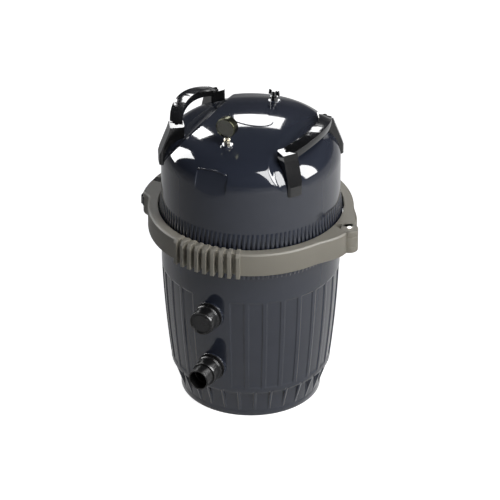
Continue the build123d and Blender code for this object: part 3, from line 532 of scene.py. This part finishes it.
# Clamp ring: a channel swept round each half, swelling into the hinge and latch lugs
ring_low_z, ring_high_z = ring_box[0][2], ring_box[1][2]
ring_middle = (ring_low_z + ring_high_z) / 2
ring_outer, ring_lip, ring_floor, ring_bevel, ring_round, ring_clearance = 332.0, 300.0, 322.0, 5.0, 1.5, 0.3
hinge_x, knuckle_radius, knuckle_clear, hinge_bore, leaf_half, leaf_gap = 353.0, 28.0, 29.4, 8.1, 16.1, 0.4
hinge_swell, hinge_lug_end, hinge_lug_blend, neck_length = 26.0, 26.0, 20.0, 37.0
latch_swell, latch_lug_start, latch_lug_blend, latch_floor, slot_half = 25.5, 160.0, 6.0, 341.0, 16.25
ring_gap, latch_gap, slot_start = 3.0, 13.0, 164.0
bar_count, bar_pitch, bar_middle, bar_half, bar_proud, bar_round = 9, 4.7, 88.8, 6.5, 6.0, 1.8
bar_outer, bar_inner, bar_drop, bar_slant = 344.0, 304.0, 12.0, 10.0
groove_depth, groove_blend = 8.0, 0.8
bar_span = bar_pitch * (bar_count - 1) / 2
pad_inner, pad_outer, pad_low, pad_high, pad_half = 324.0, 354.0, 646.0, 666.0, 12.5
piece_round = 1.2


def ring_reach(turn, gripped):
    """Outer radius at an angle from the hinge: swollen near the hinge and the latch, cut back between the bars."""
    radius = ring_outer + hinge_swell * smoothstep((hinge_lug_end - turn) / hinge_lug_blend)
    radius += latch_swell * smoothstep((turn - latch_lug_start) / latch_lug_blend)
    if gripped:
        radius -= groove_depth * smoothstep((bar_span + groove_blend / 2 - abs(turn - bar_middle)) / groove_blend)
    return radius


def ring_row(turn, side, gripped, notched):
    """The channel's section at an angle, kept clear of the knuckles and of the other half."""
    reach = ring_reach(turn, gripped)
    slot_low, slot_high = ring_middle - slot_half, ring_middle + slot_half
    slot = [(reach, slot_low), (latch_floor, slot_low), (latch_floor, slot_high), (reach, slot_high)] if notched else []
    channel_low = joint_z - flange_thickness - ring_clearance
    channel_high = joint_z + flange_thickness + ring_clearance
    section = rounded([
        (ring_lip, ring_low_z), (reach, ring_low_z), *slot,
        (reach, ring_high_z - ring_bevel), (reach - ring_bevel, ring_high_z), (ring_lip, ring_high_z),
        (ring_lip, channel_high), (ring_floor, channel_high), (ring_floor, channel_low), (ring_lip, channel_low),
    ], ring_round)
    radius, height = section[:, 0], section[:, 1]
    y = radius * math.sin(math.radians(turn))
    if turn < 90:
        # Where the knuckles' clearance circle about the pin meets each radius
        clear = knuckle_clear if side < 0 else knuckle_radius - 0.6
        meets = (radius ** 2 + hinge_x ** 2 - clear ** 2) / (2 * hinge_x)
        limit = np.maximum(np.sqrt(np.maximum(radius ** 2 - meets ** 2, 0)), ring_gap)
    else:
        limit = latch_gap
    y = np.maximum(y, limit)
    x = np.sqrt(radius ** 2 - y ** 2) * (1 if turn < 90 else -1)
    return np.stack([x, side * y, height], -1)


def ring_half(side, gripped):
    """Plain stretch up to the latch slot, then the slotted stretch, with tight rows at the bars' first and last."""
    tight = groove_blend / 2
    edges = [bar_middle + e * bar_span + o for e in (-1, 1) for o in (-tight, tight)] if gripped else []
    plain = sorted([0, 3.0, 3.6, 4.3, 5.0, *np.linspace(6, 30, 25), *np.linspace(33, 150, 50), *edges,
                    *np.linspace(151, slot_start, 14)])
    slotted = [slot_start, 166, 168, 170, 172, 174, 175.5, 177.0, 180]
    return [capped([ring_row(turn, side, gripped, False) for turn in plain]),
            capped([ring_row(turn, side, gripped, True) for turn in slotted])]


def slab(outline, start, stop, inset, side=0.0):
    """An outline (r, z) given thickness from start to stop, drawn in towards its middle at both ends."""
    low, high = outline.min(0), outline.max(0)
    rows = []
    for place, drawn in ((start, inset), (start + inset, 0), (stop - inset, 0), (stop, inset)):
        held = np.clip(outline, low + drawn, high - drawn)
        rows.append(np.stack([held[:, 0], np.full(len(held), place), held[:, 1]], -1))
    points, faces = capped(rows)
    return turned(points, side), faces


def upright_block(inner, outer, low, high, size):
    """A rounded rectangle (r, z)."""
    return rounded([(inner, low), (outer, low), (outer, high), (inner, high)], size)


def knuckle(low, high, side):
    """One hinge knuckle about the pin, with the neck that joins it to its half."""
    points, faces = loop(spin(upright_block(hinge_bore, knuckle_radius, low, high, piece_round), 64))
    start, stop = sorted((side * ring_gap, side * neck_length))
    neck = slab(upright_block(ring_floor, hinge_x + 3, low, high, piece_round), start, stop, 1.0)
    return [(points + np.array([hinge_x, 0, 0]), faces), neck]


def grip_bars():
    """Bars over the top and down the face of the front half."""
    low, high = ring_low_z - bar_proud, ring_high_z + bar_proud
    outline = rounded([(ring_floor, low), (bar_outer, low), (bar_outer, high - bar_drop),
                       (bar_outer - bar_slant, high), (bar_inner, high), (bar_inner, ring_high_z - 1),
                       (ring_floor, ring_high_z - 1)], bar_round)
    places = [bar_pitch * k - bar_span - bar_middle for k in range(bar_count)]
    return [slab(outline, -bar_half, bar_half, 1.0, place) for place in places]


leaf_low, leaf_high = ring_middle - leaf_half, ring_middle + leaf_half
front_parts = [*ring_half(-1, True), *grip_bars(), *knuckle(leaf_low, leaf_high, -1)]
rear_parts = [*ring_half(1, False), *knuckle(ring_low_z, leaf_low - leaf_gap, 1),
              *knuckle(leaf_high + leaf_gap, ring_high_z - 0.1, 1)]
latch_pad = slab(upright_block(pad_inner, pad_outer, pad_low, pad_high, 2.0), -pad_half, pad_half, 1.0, 180)
mesh_piece("ring_front_skin", front_parts, ring_grey, "ring_front", ["ring_front_half"], 40)
# The pad is painted almost black, as painted shade in the gap between the clamp halves
mesh_piece("latch_stop_pad", [latch_pad], painted_shade_rubber, "ring_front")
mesh_piece("ring_rear_skin", rear_parts, ring_grey, "ring_rear", ["ring_rear_half"], 40)


# CAD nodes that keep their shape get their edges rounded, by so many millimetres
edge_radius = {"handle_left": 3.0, "handle_right": 3.0, "air_valve_knob": 1.0, "latch_lever": 2.0,
               "upper_union_nut": 1.5, "lower_union_nut": 1.5, "tailpiece": 1.0, "blanking_plug": 1.0,
               "gauge_case": 1.0}


def soften(node, size):
    """Rounds a node's sharp edges, as a mould or a lathe leaves them, once its triangles are flat faces again."""
    weld = node.modifiers.new("weld", "WELD")
    weld.merge_threshold = 1e-5
    flat = node.modifiers.new("flats", "DECIMATE")
    flat.decimate_type = "DISSOLVE"
    flat.angle_limit = math.radians(0.5)
    bevel = node.modifiers.new("edges", "BEVEL")
    bevel.width = size * 0.001
    bevel.segments = 3
    bevel.limit_method = "ANGLE"
    bevel.angle_limit = math.radians(30)
    bevel.harden_normals = True


for name, size in edge_radius.items():
    soften(nodes[name], size)


# Lamps stand at one distance from the lid. Each either shows as a reflection or fills in light, and not both
lamp_distance = 4.0
lamp_target = Vector((0, 0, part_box("lid_shell")[1].z * 0.8))


def softbox(name, right, front, up, width, height, radiance, fills=False):
    """A rectangular lamp aimed at the vessel, placed by its direction as the camera sees it."""
    direction = (view_right * right + view_front * front + upwards * up).normalized()
    data = bpy.data.lights.new(name, "AREA")
    data.shape = "RECTANGLE"
    data.size = width
    data.size_y = height
    data.energy = radiance * math.pi * width * height
    lamp = bpy.data.objects.new(name, data)
    scene.collection.objects.link(lamp)
    lamp.location = lamp_target + direction * lamp_distance
    lamp.rotation_mode = "QUATERNION"
    lamp.rotation_quaternion = direction.to_track_quat("Z", "Y")
    lamp.visible_diffuse = fills
    lamp.visible_glossy = not fills


# Mirrored in the crown: the white on the oval, and the quad beside the left handle
softbox("back_softbox", 0.04, -0.828, 0.56, 1.0, 0.8, 9)
softbox("left_strip", -0.274, -0.754, 0.606, 0.35, 0.7, 12)
# Mirrored in the bend at the left and at the front right
softbox("left_softbox", -0.824, -0.391, 0.41, 1.5, 3.2, 12)
softbox("right_strip", 0.46, 0.60, 0.62, 1.9, 3.8, 11)
# Light for the matte ring and a little at the back
softbox("back_fill", -0.3, -0.85, 0.45, 3.0, 3.0, 1.0, fills=True)
softbox("key_fill", 0.50, 0.60, 0.60, 1.0, 3.8, 8, fills=True)
# Mirrored in the bend at the right
softbox("right_softbox", 0.858, 0.167, 0.485, 1.4, 3.0, 14)


def across_view(tree, place, reach, left, right):
    """A value that runs from left to right as the camera sees a place or a direction."""
    along = add(tree, "ShaderNodeVectorMath", {0: place, 1: view_right}, operation="DOT_PRODUCT").outputs["Value"]
    return add(tree, "ShaderNodeMapRange", {"Value": along, "From Min": -reach, "From Max": reach,
                                            "To Min": left, "To Max": right}).outputs["Result"]


# The studio's greys from the horizon to the zenith, and how much darker it is on the left than on the right
sky_greys = ((0.0, "#b0b0b0"), (0.06, "#66666a"), (0.2, "#4a4c53"), (0.5, "#5c5f69"), (0.9, "#3a3c43"))
sky_left, sky_right = 0.25, 1.2


def make_world():
    """A dim studio above a pale horizon; every kind of ray sees the same sky."""
    world = bpy.data.worlds.new("studio")
    world.use_nodes = True
    scene.world = world
    tree = world.node_tree
    direction = add(tree, "ShaderNodeTexCoord").outputs["Generated"]
    height = add(tree, "ShaderNodeSeparateXYZ", {"Vector": direction}).outputs["Z"]
    grey = add(tree, "ShaderNodeValToRGB", {"Fac": height})
    stops = grey.color_ramp.elements
    while len(stops) < len(sky_greys):
        stops.new(0.5)
    for stop, (position, colour) in zip(stops, sky_greys):
        stop.position = position
        stop.color = linear(colour)
    across = across_view(tree, direction, 1.0, sky_left, sky_right)
    shade = add(tree, "ShaderNodeVectorMath", {0: grey.outputs["Color"], "Scale": across}, operation="SCALE")
    background = tree.nodes["Background"]
    tree.links.new(shade.outputs[0], background.inputs["Color"])
    background.inputs["Strength"].default_value = 1.0


make_world()

# The floor's reach in metres, its glow to the camera, and its glow in reflections on the left and on the right
floor_reach, floor_glow = 30.0, 0.95
mirror_reach, mirror_left, mirror_right = 1.5, 0.08, 0.44


def floor_paper():
    """Seamless matte paper: white to the camera, dimmer in the vessel's reflections, and grey under soft shadow."""
    made = bpy.data.materials.new("floor_paper")
    made.use_nodes = True
    tree = made.node_tree
    shader = tree.nodes["Principled BSDF"]
    shader.inputs["Base Color"].default_value = linear("#bcbcbc")
    shader.inputs["Roughness"].default_value = 0.9
    shader.inputs["Emission Color"].default_value = (1, 1, 1, 1)
    rays = add(tree, "ShaderNodeLightPath").outputs
    place = add(tree, "ShaderNodeNewGeometry").outputs["Position"]
    dim = across_view(tree, place, mirror_reach, mirror_left, mirror_right)
    mirrored = add(tree, "ShaderNodeMath", {0: rays["Is Glossy Ray"], 1: dim}, operation="MULTIPLY")
    seen = add(tree, "ShaderNodeMath", {0: rays["Is Camera Ray"], 1: rays["Is Transmission Ray"]},
               operation="MAXIMUM")
    glow = add(tree, "ShaderNodeMath", {0: seen.outputs[0], 1: floor_glow, 2: mirrored.outputs[0]},
               operation="MULTIPLY_ADD")
    tree.links.new(glow.outputs[0], shader.inputs["Emission Strength"])
    return made


def make_floor():
    """A wide flat floor at the foot of the tank."""
    mesh = bpy.data.meshes.new("floor")
    reach = floor_reach
    mesh.from_pydata([(-reach, -reach, 0), (reach, -reach, 0), (reach, reach, 0), (-reach, reach, 0)], [],
                     [(0, 1, 2, 3)])
    mesh.materials.append(floor_paper())
    floor = bpy.data.objects.new("floor", mesh)
    scene.collection.objects.link(floor)


make_floor()
scene.view_settings.view_transform = "Standard"
